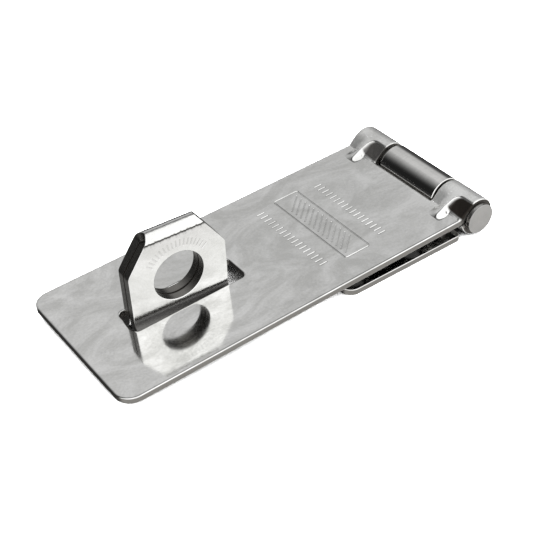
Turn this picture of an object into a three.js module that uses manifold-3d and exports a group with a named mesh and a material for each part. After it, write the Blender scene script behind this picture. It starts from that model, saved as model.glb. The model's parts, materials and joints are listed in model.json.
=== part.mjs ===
// Hasp and staple for a door, gate or chest, shown closed on its mounting surface.
//
// Four steel pieces: a fixed leaf that screws down, a slotted flap that turns on it, the hinge pin
// that is riveted through both, and a staple of folded strip that stands up through the flap's slot.
//
// Layout frame, in millimetres: the hinge axis runs along Y over x = 0, the mounting surface is
// z = 0, y = 0 is the middle of the plates, and the flap reaches towards -X.

import * as THREE from 'three';
import { mergeVertices } from 'three/addons/utils/BufferGeometryUtils.js';
import Module from 'manifold-3d';

const wasm = await Module();
wasm.setup();

// Whole hasp
const OVERALL_LENGTH = 115;
const PLATE_WIDTH = 46.8;
const BARREL_RADIUS = 5.33;
const KNUCKLE_OPENING = 23.6; // between the flap's two knuckles
const MIDDLE_KNUCKLE_WIDTH = 21.5;
const MIDDLE_KNUCKLE_SHIFT = -0.35; // the leaf's knuckle sits nearer the pin's head

// Flap
const FLAP_THICKNESS = 1.75;
const FLAP_RISE = 1.68; // top of the flap over the hinge axis
const FLAP_DROOP = THREE.MathUtils.degToRad(1.6); // closed, its free end rests low on the staple's feet
const FLAP_CORNER_RADIUS = 4.5;
const FLAP_OPENING_END = 5.87; // end of the opening for the leaf's knuckle, behind the hinge axis
const RISE_SLOPE = THREE.MathUtils.degToRad(46); // of the flap where it rises to its knuckles
const RISE_FILLET = 0.5;
const FLAP_ROLL_END = THREE.MathUtils.degToRad(-170);
const SLOT_FREE_END = 95.15; // the slot's two ends, behind the hinge axis
const SLOT_HINGE_END = 62;
const SLOT_WIDTH = 8.9;
const SLOT_CORNER_RADIUS = 1.5;

// Stiffening bead, pressed up across the rise to each outer knuckle
const BEAD_FROM_EDGE = 5.8;
const BEAD_START = 10.7; // its pointed end on the plate, behind the hinge axis
const BEAD_RADIUS = 3.4;

// Fixed leaf
const LEAF_THICKNESS = 1.9;
const LEAF_FREE_END = 43.9; // behind the hinge axis
const LEAF_HINGE_END = 5.45;
const LEAF_CORNER_RADIUS = 3.2;
const LEAF_SHOULDER_RADIUS = 1.4;
const LEAF_ROLL_END = THREE.MathUtils.degToRad(216);
const LEAF_SCREW_X = [-35, -14.5];
const LEAF_SCREW_Y = 14;

// Hinge pin
const PIN_RADIUS = 3.1;
const PIN_HEAD_RADIUS = 4.28;
const PIN_HEAD_PROUD = 1.5;
const PIN_RIVET_RADIUS = 3.9;
const PIN_RIVET_PROUD = 0.9;
const PIN_EDGE = 0.3; // chamfer of the head, and the play between each end and its knuckle

// Staple
const STAPLE_CENTRE_X = -80.2;
const STAPLE_YAW = THREE.MathUtils.degToRad(-3); // it stands a little askew in the slot
const STAPLE_WIDTH = 27;
const STAPLE_HEIGHT = 28;
const STRIP_THICKNESS = 2.6;
const SEAM_WIDTH = 0.14;
const FOLD_HEIGHT = 1.9;
const SEAM_TOP = 25.6;
const FOOT_BEND_RADIUS = 1.6;
const FOOT_END = 19;
const FOOT_CORNER_RADIUS = 3;
const SHOULDER_START = 18.3; // height where the slanted corners begin
const SHOULDER_SLOPE = 1.45; // rise over run of the slanted corners
const SHACKLE_HOLE_RADIUS = 6.93;
const SHACKLE_HOLE_HEIGHT = 13.5;
const FOOT_SCREW_X = 7.3;
const FOOT_SCREW_Y = 12.6;

// Countersunk screw holes
const SCREW_HOLE_RADIUS = 2.4;
const COUNTERSINK_RADIUS = 4.3;

const ARC_STEP = THREE.MathUtils.degToRad(9);
const MARGIN = 1; // how far a cutter runs past the face it cuts

const STEEL = new THREE.MeshStandardMaterial({ color: 0xc4c4c1, roughness: 0.22, metalness: 1 });
const PIN_STEEL = new THREE.MeshStandardMaterial({ color: 0xa9a9a5, roughness: 0.35, metalness: 1 });

// Points along an arc about (cx, cy), from angle a0 to a1, both ends included.
function arc(cx, cy, radius, a0, a1) {
  const steps = Math.max(2, Math.ceil(Math.abs(a1 - a0) / ARC_STEP - 1e-6));
  return Array.from({ length: steps + 1 }, (_, i) => {
    const angle = a0 + ((a1 - a0) * i) / steps;
    return new THREE.Vector2(cx + radius * Math.cos(angle), cy + radius * Math.sin(angle));
  });
}

// A closed outline through [x, y, radius] corners, each rounded by its radius if it has one.
function roundedOutline(corners) {
  const points = corners.flatMap(([x, y, radius = 0], i) => {
    const corner = new THREE.Vector2(x, y);
    if (radius === 0) return [corner];
    const before = new THREE.Vector2(...corners.at(i - 1).slice(0, 2)).sub(corner).normalize();
    const after = new THREE.Vector2(...corners[(i + 1) % corners.length].slice(0, 2)).sub(corner).normalize();
    const half = Math.acos(before.dot(after)) / 2;
    const centre = before.clone().add(after).setLength(radius / Math.sin(half)).add(corner);
    const start = before.multiplyScalar(radius / Math.tan(half)).add(corner).sub(centre).angle();
    const end = after.multiplyScalar(radius / Math.tan(half)).add(corner).sub(centre).angle();
    const turn = THREE.MathUtils.euclideanModulo(end - start + Math.PI, 2 * Math.PI) - Math.PI;
    return arc(centre.x, centre.y, radius, start, start + turn);
  });
  return new THREE.Shape(points);
}

// A rectangle's outline, with one corner radius at its low-x end and one at its high-x end.
function rectangle(x0, x1, halfWidth, lowRadius, highRadius) {
  return roundedOutline([
    [x0, -halfWidth, lowRadius],
    [x1, -halfWidth, highRadius],
    [x1, halfWidth, highRadius],
    [x0, halfWidth, lowRadius],
  ]);
}

// Turns a closed geometry into a solid that can be joined and cut.
function solid(geometry) {
  geometry.deleteAttribute('normal');
  geometry.deleteAttribute('uv');
  const merged = mergeVertices(geometry, 1e-5);
  return new wasm.Manifold(new wasm.Mesh({
    numProp: 3,
    vertProperties: new Float32Array(merged.attributes.position.array),
    triVerts: new Uint32Array(merged.index.array),
  }));
}

// Turns a solid back into a geometry for a mesh.
function geometryOf(body) {
  const mesh = body.getMesh();
  const geometry = new THREE.BufferGeometry();
  geometry.setAttribute('position', new THREE.BufferAttribute(mesh.vertProperties, 3));
  geometry.setIndex(new THREE.BufferAttribute(mesh.triVerts, 1));
  geometry.computeVertexNormals();
  return geometry;
}

// A plan outline in X and Y, standing from z0 to z1.
function standing(shape, z0, z1) {
  const geometry = new THREE.ExtrudeGeometry(shape, { depth: z1 - z0, bevelEnabled: false });
  return solid(geometry.translate(0, 0, z0));
}

// A side outline in X and Z, carried across the width in Y.
function acrossWidth(shape, halfWidth) {
  const geometry = new THREE.ExtrudeGeometry(shape, { depth: 2 * halfWidth, bevelEnabled: false });
  return solid(geometry.rotateX(Math.PI / 2).translate(0, halfWidth, 0));
}

// An end outline in Y and Z, carried along X.
function alongLength(shape, halfLength) {
  const geometry = new THREE.ExtrudeGeometry(shape, { depth: 2 * halfLength, bevelEnabled: false });
  const toSide = new THREE.Matrix4().makeBasis(
    new THREE.Vector3(0, 1, 0),
    new THREE.Vector3(0, 0, 1),
    new THREE.Vector3(1, 0, 0),
  );
  return solid(geometry.applyMatrix4(toSide).translate(-halfLength, 0, 0));
}

// The space that a countersunk wood screw takes in a plate whose top is at the given height.
function screwSpace(x, y, top) {
  const neck = top - (COUNTERSINK_RADIUS - SCREW_HOLE_RADIUS);
  const profile = [
    [0, -MARGIN],
    [SCREW_HOLE_RADIUS, -MARGIN],
    [SCREW_HOLE_RADIUS, neck],
    [COUNTERSINK_RADIUS + MARGIN, top + MARGIN],
    [0, top + MARGIN],
  ].map(([radius, height]) => new THREE.Vector2(radius, height));
  return solid(new THREE.LatheGeometry(profile, 32).rotateX(Math.PI / 2).translate(x, y, 0));
}

// The flap's side outline about the hinge axis: flat plate, straight rise, and roll round the pin.
function flapProfile(reach) {
  const bore = BARREL_RADIUS - FLAP_THICKNESS;
  const onBarrel = Math.PI / 2 + RISE_SLOPE; // where the rise meets the roll
  const tangentX = -BARREL_RADIUS * Math.sin(RISE_SLOPE);
  const tangentZ = BARREL_RADIUS * Math.cos(RISE_SLOPE);
  const cornerX = tangentX - (tangentZ - FLAP_RISE) / Math.tan(RISE_SLOPE);
  const bendX = cornerX - RISE_FILLET * Math.tan(RISE_SLOPE / 2);
  const bendZ = FLAP_RISE + RISE_FILLET;
  const riseStart = RISE_SLOPE - Math.PI / 2;
  return new THREE.Shape([
    new THREE.Vector2(-reach, FLAP_RISE),
    new THREE.Vector2(-reach, FLAP_RISE - FLAP_THICKNESS),
    ...arc(bendX, bendZ, RISE_FILLET + FLAP_THICKNESS, -Math.PI / 2, riseStart),
    ...arc(0, 0, bore, onBarrel, FLAP_ROLL_END),
    ...arc(0, 0, BARREL_RADIUS, FLAP_ROLL_END, onBarrel),
    ...arc(bendX, bendZ, RISE_FILLET, riseStart, -Math.PI / 2),
  ]);
}

// A cylinder along a bead's crest. The crest climbs from its end on the plate to touch the barrel.
function alongBead(radius, y) {
  const startAngle = Math.atan2(FLAP_RISE, BEAD_START);
  const startDistance = Math.hypot(FLAP_RISE, BEAD_START);
  const slope = Math.asin(BARREL_RADIUS / startDistance) - startAngle;
  const length = 2 * startDistance;
  const geometry = new THREE.CylinderGeometry(radius, radius, length, 40);
  geometry.rotateZ(Math.PI / 2).translate(-length / 2, 0, 0);
  geometry.translate(0, 0, BARREL_RADIUS - BEAD_RADIUS).rotateY(-slope);
  return solid(geometry.translate(0, y, 0));
}

// What a bead adds over the plate and the barrel, open underneath as pressed sheet is.
function bead(y) {
  const bore = new THREE.CylinderGeometry(
    BARREL_RADIUS - FLAP_THICKNESS, BARREL_RADIUS - FLAP_THICKNESS, PLATE_WIDTH, 80,
  );
  const underside = FLAP_RISE - FLAP_THICKNESS;
  const above = rectangle(-BEAD_START, 0, PLATE_WIDTH / 2, 0, 0);
  return alongBead(BEAD_RADIUS, y)
    .intersect(standing(above, underside, BARREL_RADIUS))
    .subtract(solid(bore));
}

function makeFlap(reach) {
  const halfWidth = PLATE_WIDTH / 2;
  const low = -BARREL_RADIUS - MARGIN;
  const high = BARREL_RADIUS + MARGIN;
  const outline = rectangle(-reach, high, halfWidth, FLAP_CORNER_RADIUS, 0);
  const opening = rectangle(-FLAP_OPENING_END, high, KNUCKLE_OPENING / 2, 0, 0);
  const slot = rectangle(
    -SLOT_FREE_END, -SLOT_HINGE_END, SLOT_WIDTH / 2, SLOT_CORNER_RADIUS, SLOT_CORNER_RADIUS,
  );
  const beadY = halfWidth - BEAD_FROM_EDGE;
  const hollow = BEAD_RADIUS - FLAP_THICKNESS;
  return acrossWidth(flapProfile(reach), halfWidth)
    .intersect(standing(outline, low, high))
    .subtract(standing(opening, low, high))
    .subtract(standing(slot, low, high))
    .add(bead(-beadY))
    .add(bead(beadY))
    .subtract(alongBead(hollow, -beadY))
    .subtract(alongBead(hollow, beadY));
}

function makeLeaf() {
  const middle = BARREL_RADIUS;
  const halfWidth = PLATE_WIDTH / 2;
  const knuckleNear = MIDDLE_KNUCKLE_SHIFT - MIDDLE_KNUCKLE_WIDTH / 2;
  const knuckleFar = MIDDLE_KNUCKLE_SHIFT + MIDDLE_KNUCKLE_WIDTH / 2;
  const bore = BARREL_RADIUS - LEAF_THICKNESS;
  const high = 2 * BARREL_RADIUS + MARGIN;
  const profile = new THREE.Shape([
    new THREE.Vector2(-LEAF_FREE_END, 0),
    ...arc(0, middle, BARREL_RADIUS, -Math.PI / 2, LEAF_ROLL_END),
    ...arc(0, middle, bore, LEAF_ROLL_END, -Math.PI / 2),
    new THREE.Vector2(-LEAF_FREE_END, LEAF_THICKNESS),
  ]);
  const outline = roundedOutline([
    [-LEAF_FREE_END, -halfWidth, LEAF_CORNER_RADIUS],
    [-LEAF_HINGE_END, -halfWidth, LEAF_SHOULDER_RADIUS],
    [-LEAF_HINGE_END, knuckleNear],
    [BARREL_RADIUS + MARGIN, knuckleNear],
    [BARREL_RADIUS + MARGIN, knuckleFar],
    [-LEAF_HINGE_END, knuckleFar],
    [-LEAF_HINGE_END, halfWidth, LEAF_SHOULDER_RADIUS],
    [-LEAF_FREE_END, halfWidth, LEAF_CORNER_RADIUS],
  ]);
  let leaf = acrossWidth(profile, halfWidth).intersect(standing(outline, -MARGIN, high));
  for (const x of LEAF_SCREW_X) {
    for (const y of [-LEAF_SCREW_Y, LEAF_SCREW_Y]) {
      leaf = leaf.subtract(screwSpace(x, y, LEAF_THICKNESS));
    }
  }
  return leaf;
}

// The pin: head at the near end, plain shank, and a low riveted end.
function makePin() {
  const halfWidth = PLATE_WIDTH / 2;
  const profile = [
    [0, -halfWidth - PIN_HEAD_PROUD],
    [PIN_HEAD_RADIUS - PIN_EDGE, -halfWidth - PIN_HEAD_PROUD],
    [PIN_HEAD_RADIUS, -halfWidth - PIN_HEAD_PROUD + PIN_EDGE],
    [PIN_HEAD_RADIUS, -halfWidth - PIN_EDGE],
    [PIN_RADIUS, -halfWidth - PIN_EDGE],
    [PIN_RADIUS, halfWidth + PIN_EDGE],
    [PIN_RIVET_RADIUS, halfWidth + PIN_EDGE],
    [PIN_RIVET_RADIUS, halfWidth + 2 * PIN_EDGE],
    [PIN_RIVET_RADIUS / 2, halfWidth + PIN_RIVET_PROUD],
    [0, halfWidth + PIN_RIVET_PROUD],
  ].map(([radius, y]) => new THREE.Vector2(radius, y));
  return solid(new THREE.LatheGeometry(profile, 40));
}

// The folded strip seen along its length: two layers with a fine seam, a closed fold on top, and
// a foot turned outwards from the bottom of each layer.
function stapleProfile() {
  const seam = SEAM_WIDTH / 2;
  const face = seam + STRIP_THICKNESS;
  const bend = face + FOOT_BEND_RADIUS;
  const bendHeight = STRIP_THICKNESS + FOOT_BEND_RADIUS;
  const foldStart = STAPLE_HEIGHT - FOLD_HEIGHT;
  const half = [
    new THREE.Vector2(seam, SEAM_TOP),
    ...arc(bend, bendHeight, bendHeight, Math.PI, 1.5 * Math.PI),
    new THREE.Vector2(FOOT_END, 0),
    new THREE.Vector2(FOOT_END, STRIP_THICKNESS),
    ...arc(bend, bendHeight, FOOT_BEND_RADIUS, 1.5 * Math.PI, Math.PI),
  ];
  const fold = arc(0, 0, 1, 0, Math.PI)
    .map((p) => new THREE.Vector2(p.x * face, foldStart + p.y * FOLD_HEIGHT));
  const mirrored = half.map((p) => new THREE.Vector2(-p.x, p.y)).reverse();
  return new THREE.Shape([...half, ...fold, ...mirrored]);
}

function makeStaple() {
  const halfWidth = STAPLE_WIDTH / 2;
  const top = STAPLE_HEIGHT + MARGIN;
  const topHalfWidth = halfWidth - (top - SHOULDER_START) / SHOULDER_SLOPE;
  const front = new THREE.Shape([
    new THREE.Vector2(-halfWidth, -MARGIN),
    new THREE.Vector2(halfWidth, -MARGIN),
    new THREE.Vector2(halfWidth, SHOULDER_START),
    new THREE.Vector2(topHalfWidth, top),
    new THREE.Vector2(-topHalfWidth, top),
    new THREE.Vector2(-halfWidth, SHOULDER_START),
  ]);
  const feet = roundedOutline([
    [-halfWidth, -FOOT_END, FOOT_CORNER_RADIUS],
    [halfWidth, -FOOT_END, FOOT_CORNER_RADIUS],
    [halfWidth, FOOT_END, FOOT_CORNER_RADIUS],
    [-halfWidth, FOOT_END, FOOT_CORNER_RADIUS],
  ]);
  const shackleHole = new THREE.CylinderGeometry(
    SHACKLE_HOLE_RADIUS, SHACKLE_HOLE_RADIUS, 4 * STRIP_THICKNESS, 48,
  );
  let staple = alongLength(stapleProfile(), halfWidth + MARGIN)
    .intersect(acrossWidth(front, FOOT_END + MARGIN))
    .intersect(standing(feet, -MARGIN, top))
    .subtract(solid(shackleHole.translate(0, 0, SHACKLE_HOLE_HEIGHT)));
  for (const x of [-FOOT_SCREW_X, FOOT_SCREW_X]) {
    for (const y of [-FOOT_SCREW_Y, FOOT_SCREW_Y]) {
      staple = staple.subtract(screwSpace(x, y, STRIP_THICKNESS));
    }
  }
  return staple;
}

function part(name, body, material) {
  const mesh = new THREE.Mesh(geometryOf(body), material);
  mesh.name = name;
  return mesh;
}

// Drooping, the flap's top edge reaches furthest back, so its reach follows from the overall length.
const behindAxis = OVERALL_LENGTH - BARREL_RADIUS;
const flapReach = (behindAxis - FLAP_RISE * Math.sin(FLAP_DROOP)) / Math.cos(FLAP_DROOP);

const turning = new THREE.Group();
turning.add(part('flap', makeFlap(flapReach), STEEL));
turning.add(part('hinge_pin', makePin(), PIN_STEEL));
turning.position.z = BARREL_RADIUS;
turning.rotation.y = -FLAP_DROOP;

const staple = part('staple', makeStaple(), STEEL);
staple.position.x = STAPLE_CENTRE_X;
staple.rotation.z = STAPLE_YAW;

// The hasp stands on z = 0 with the middle of its box over the origin.
const hasp = new THREE.Group();
hasp.add(part('fixed_leaf', makeLeaf(), STEEL), turning, staple);
hasp.position.x = OVERALL_LENGTH / 2 - BARREL_RADIUS;
hasp.position.y = (PIN_HEAD_PROUD - PIN_RIVET_PROUD) / 2;

export default hasp;
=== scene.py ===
# %% [markdown]
# # A plated steel hasp and its staple
#
# A hasp locks a door, gate or chest. A fixed leaf is screwed down beside the opening, a slotted flap
# turns on it about a riveted pin, and a staple of folded strip stands up through the slot to take a
# padlock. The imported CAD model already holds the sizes, the joint and the collision shapes. This
# script makes what the eye sees: rounded sheared edges, pressed beads, stamped marks and bright zinc
# plating.
#
# All four pieces are steel sheet or rod, so all but the pin are made in the same way here: a flat
# outline is worked out first, with its holes, and a formula then bends it to shape.

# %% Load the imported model
import json

import bpy
import numpy as np
from mathutils import Matrix, Vector
from mathutils.geometry import delaunay_2d_cdt


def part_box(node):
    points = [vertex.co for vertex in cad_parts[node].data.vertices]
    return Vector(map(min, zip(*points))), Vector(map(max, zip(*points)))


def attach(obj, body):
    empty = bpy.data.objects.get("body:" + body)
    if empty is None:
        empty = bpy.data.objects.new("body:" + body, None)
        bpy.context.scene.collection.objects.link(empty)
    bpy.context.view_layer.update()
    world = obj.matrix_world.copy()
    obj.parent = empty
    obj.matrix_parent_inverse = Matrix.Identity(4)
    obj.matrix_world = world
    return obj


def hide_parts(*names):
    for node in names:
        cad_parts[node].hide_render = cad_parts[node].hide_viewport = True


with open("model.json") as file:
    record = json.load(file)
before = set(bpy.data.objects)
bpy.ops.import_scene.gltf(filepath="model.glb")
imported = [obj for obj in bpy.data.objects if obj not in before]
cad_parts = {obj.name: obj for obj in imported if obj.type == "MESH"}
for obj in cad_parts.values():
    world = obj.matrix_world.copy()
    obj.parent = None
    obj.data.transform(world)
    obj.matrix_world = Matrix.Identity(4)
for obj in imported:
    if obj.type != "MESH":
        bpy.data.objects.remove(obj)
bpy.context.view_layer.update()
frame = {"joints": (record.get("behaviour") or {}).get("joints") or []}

# %% [markdown]
# ## Sizes
#
# Everything below is in millimetres, the unit a sheet metal worker thinks in, and is turned into
# metres when a mesh is made. What the frame knows is read from it: the hinge axis, the barrel, whose
# radius is the height of that axis, and the width of the plates. The other sizes are named once.

# %% Sizes that come from the frame
MM = 0.001


def node_size(node):
    """The size of a CAD node's box along X, Y and Z, in millimetres."""
    low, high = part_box(node)
    return np.array(high - low) / MM


HINGE_AXIS = np.array(frame["joints"][0]["pos_m"]) / MM
BARREL_RADIUS = HINGE_AXIS[2]
OVERALL_LENGTH = node_size("flap")[0]
PLATE_WIDTH = node_size("fixed_leaf")[1]
HALF_WIDTH = PLATE_WIDTH / 2
STAPLE_HEIGHT = node_size("staple")[2]
print(f"axis {HINGE_AXIS.round(2)}, length {OVERALL_LENGTH:.1f}, width {PLATE_WIDTH:.1f}")

# %% Sizes of the flap
FLAP_THICKNESS = 1.75
FLAP_RISE = 1.68  # top of the flap over the hinge axis
FLAP_DROOP = np.radians(1.6)  # closed, its free end rests low
FLAP_CORNER_RADIUS = 4.5
FLAP_OPENING_END = 5.87
FLAP_ROLL_END = np.radians(-168)
RISE_SLOPE = np.radians(46)
RISE_FILLET = 0.5
SLOT_FREE_END, SLOT_HINGE_END = 95.15, 62.0
SLOT_WIDTH, SLOT_CORNER_RADIUS = 8.9, 1.5
KNUCKLE_OPENING = 23.6  # between the flap's two knuckles
KNUCKLE_CORNER_RADIUS, OPENING_CORNER_RADIUS = 0.9, 0.5
FLAP_FACE_ROUND, FLAP_BACK_ROUND = (0.7, 0.26), (0.12, 0.12)  # width and height of each edge's round

# The top edge of the drooping flap reaches furthest, so its reach follows from the whole length.
FLAP_REACH = OVERALL_LENGTH - BARREL_RADIUS
FLAP_REACH = (FLAP_REACH - FLAP_RISE * np.sin(FLAP_DROOP)) / np.cos(FLAP_DROOP) - 0.02

# %% [markdown]
# ## Camera
#
# The camera looks at the hasp from its near side and from the free end of the flap, about 39 degrees
# above the surface, with a long lens 0.3 metres away and a slight roll. It comes first so that every
# piece can be looked at as soon as it is made.

# %% Camera
EYE = Vector((-135.2, -198.5, 195.0)) * MM
TARGET = Vector((-3.76, -4.36, 5.0)) * MM
CAMERA_ROLL = np.radians(-3.16)
LENS = 79.46

camera_data = bpy.data.cameras.new("camera")
camera_data.lens = LENS
camera_data.sensor_width = 36
camera_data.clip_start = 0.01
camera = bpy.data.objects.new("camera", camera_data)
bpy.context.scene.collection.objects.link(camera)
facing = (TARGET - EYE).to_track_quat("-Z", "Y").to_matrix().to_4x4()
camera.matrix_world = Matrix.Translation(EYE) @ facing @ Matrix.Rotation(CAMERA_ROLL, 4, "Z")
bpy.context.scene.camera = camera
print("camera distance, mm:", round((TARGET - EYE).length / MM))

# %% [markdown]
# ## Outlines
#
# A stamped plate is an outline with rounded corners and a few holes. An outline is a closed run of
# points with the metal on its left, so the rim runs anticlockwise and a hole clockwise. Moving it
# into the metal by a small inset gives the next ring of a rounded edge, point for point.

# %% A rounded outline and a round hole
CORNER_STEPS = 12


def rounded_outline(corners, stations, inset=0.0):
    """Points round a polygon with rounded corners, moved into the metal by the inset.

    Each side moves left by the inset. A corner's arc shrinks by it where the outline turns left and
    grows by it where it turns right. Sides get a point at every station along s or along y.
    """
    corner = np.array(corners, float)
    points = [rounded_corner(corner, i, inset) for i in range(len(corner))]
    plain = [rounded_corner(corner, i, 0.0) for i in range(len(corner))]
    loop = []
    for i, arc in enumerate(points):
        j = (i + 1) % len(points)
        loop.append(arc)
        start, end = plain[i][-1], plain[j][0]
        along = int(abs(end - start)[1] > abs(end - start)[0])
        share = (stations[along] - start[along]) / (end - start)[along]
        margin = 0.12 / np.linalg.norm(end - start)
        share = np.sort(share[(share > margin) & (share < 1 - margin)])[:, None]
        loop.append(arc[-1] + share * (points[j][0] - arc[-1]))
    return np.concatenate(loop)


def rounded_corner(corner, i, inset):
    """The arc at corner i: its centre lies on the corner's bisector, and its ends touch both sides."""
    before = corner[i, :2] - corner[i - 1, :2]
    after = corner[(i + 1) % len(corner), :2] - corner[i, :2]
    left = [np.array([-d[1], d[0]]) / np.linalg.norm(d) for d in (before, after)]
    bisector = (left[0] + left[1]) / (1 + left[0] @ left[1])
    side = np.sign(before[0] * after[1] - before[1] * after[0])
    radius = corner[i, 2] - side * inset
    centre = corner[i, :2] + bisector * (inset + side * radius)
    turn = side * np.arccos(np.clip(left[0] @ left[1], -1, 1))
    angle = np.linspace(0, turn, CORNER_STEPS)[:, None]
    spoke = -side * left[0]
    across = np.array([-spoke[1], spoke[0]])
    return centre + radius * (np.cos(angle) * spoke + np.sin(angle) * across)


def round_hole(centre, radius, steps):
    """Points clockwise round a circle, as a function of the inset, which makes the circle larger."""
    angle = -np.linspace(0, 2 * np.pi, steps, endpoint=False)
    circle = np.stack([np.cos(angle), np.sin(angle)], 1)
    return lambda inset: np.array(centre) + (radius + inset) * circle


# %% [markdown]
# ## Edges
#
# Sheared sheet has a rounded edge on the side that the punch enters, a straight wall, and a smaller
# round on the other side. Bright metal shows such an edge as a fine line of light, so each edge is
# modelled as rings of points: how far into the metal, how deep below the face, and which way the
# surface looks there. A countersunk hole is the same thing with a cone in the middle.

# %% Edge profiles
EDGE_ANGLES = np.radians([0, 15, 30, 45, 60, 75, 90])
WALL_RING_SHARE = 0.85  # depth of the wall's own ring, as a share of the thickness


def rolled_edge(thickness, face_round, back_round):
    """Rings down an edge as rows of (inset, depth, angle). Each round is a quarter ellipse, given by
    its width and height, and the angle follows from the ellipse's slope. One more ring low on the
    wall keeps the painted shade that lies in the seam from spreading up it."""
    def quarter_ellipse(width, height):
        """The round's rings, from the face down to the wall."""
        across, down = width * (1 - np.sin(EDGE_ANGLES)), height * (1 - np.cos(EDGE_ANGLES))
        turned = np.arctan2(height * np.sin(EDGE_ANGLES), width * np.cos(EDGE_ANGLES))
        return np.stack([across, down, turned], 1)

    face, back = quarter_ellipse(*face_round), quarter_ellipse(*back_round)[::-1]
    back = np.stack([back[:, 0], thickness - back[:, 1], np.pi - back[:, 2]], 1)
    wall = [(0, WALL_RING_SHARE * thickness, np.pi / 2)]
    return np.concatenate([face, wall, back])


def countersink(thickness, wide, narrow, wide_at_face):
    """Rings down a screw hole: a 45 degree cone from the wide radius to the narrow one.

    The hole's own loop has the narrow radius, so the insets are measured from that.
    """
    cone = wide - narrow
    rim = 0.12
    rings = np.array([
        (cone + rim, 0, 0),
        (cone + 0.03, 0.03, np.pi / 8),
        (cone - rim, rim, np.pi / 4),
        (rim, min(cone, thickness) - rim, np.pi / 4),
        (0.02, min(cone, thickness) - 0.02, np.pi / 3),
        (0.0, thickness, np.pi / 2),
    ])
    if wide_at_face:
        return rings
    return np.stack([rings[:, 0], thickness - rings[:, 1], np.pi - rings[:, 2]], 1)[::-1]


flap_edge = rolled_edge(FLAP_THICKNESS, FLAP_FACE_ROUND, FLAP_BACK_ROUND)
print("rings down the flap's edge:", len(flap_edge))

# %% [markdown]
# ## Plates
#
# A plate is worked out flat, in s along its length and y across it, and then bent by its own formula,
# a function of s, y and the depth below its face. The edges become strips of quads between rings. The
# two faces are filled with triangles over a grid of points, close together where the plate bends and
# far apart where it is flat, because a mirror finish shows the smallest kink. For the same reason the
# normals come from the formula: the cross product of its two tangents.

# %% Triangles between outlines
def inside(points, loops):
    """Whether each point is in the metal: a ray along s crosses the outlines an odd number of times."""
    result = np.zeros(len(points), bool)
    for start in range(0, len(points), 2000):
        p = points[start:start + 2000, :, None]
        for loop in loops:
            a, b = loop.T, np.roll(loop, -1, 0).T
            spans = (a[1] > p[:, 1]) != (b[1] > p[:, 1])
            rise = np.where(b[1] == a[1], 1.0, b[1] - a[1])
            crossing = a[0] + (p[:, 1] - a[1]) / rise * (b[0] - a[0])
            result[start:start + 2000] ^= (spans & (p[:, 0] < crossing)).sum(1) % 2 == 1
    return result


def clear_of(points, others, gap):
    """Whether each point is further than the gap from all the others."""
    result = np.ones(len(points), bool)
    for start in range(0, len(points), 2000):
        p = points[start:start + 2000]
        squared = ((p[:, None, :] - others[None, :, :]) ** 2).sum(2)
        result[start:start + 2000] = squared.min(1) > gap ** 2
    return result


def fill(loops, points):
    """Triangles over the metal between the loops and through the loose points (Delaunay)."""
    every = np.concatenate([*loops, points])
    first = np.cumsum([0, *map(len, loops)])
    edges = [(a + i, a + (i + 1) % (b - a)) for a, b in zip(first, first[1:]) for i in range(b - a)]
    found = delaunay_2d_cdt([Vector(p) for p in every], edges, [], 1, 1e-9)
    source = np.array([origin[0] for origin in found[3]])
    triangles = source[np.array(found[2])]
    on_rim = (triangles < first[-1]).all(1)
    keep = np.ones(len(triangles), bool)
    keep[on_rim] = inside(every[triangles[on_rim]].mean(1), loops)
    return triangles[keep]


# %% Grids of points on a face
def grid(s_values, y_values):
    """Every pairing of an s value with a y value, as rows of (s, y)."""
    return np.stack(np.meshgrid(s_values, y_values, indexing="ij"), 2).reshape(-1, 2)


def spread(low, high, step):
    """Evenly spaced values from low to high, about one step apart."""
    return np.linspace(low, high, max(2, round((high - low) / step) + 1))


# %% Normals from a formula
TANGENT_STEP = 0.01


def frames(surface, s, y, depth):
    """The unit tangents along s and y, and the normal between them, from small steps each way."""
    along = surface(s + TANGENT_STEP, y, depth) - surface(s - TANGENT_STEP, y, depth)
    across = surface(s, y + TANGENT_STEP, depth) - surface(s, y - TANGENT_STEP, depth)
    normal = unit(np.cross(along, across))
    return unit(along), unit(across), normal


def unit(v):
    """Each row divided by its length."""
    return v / np.linalg.norm(v, axis=1, keepdims=True)


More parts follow.
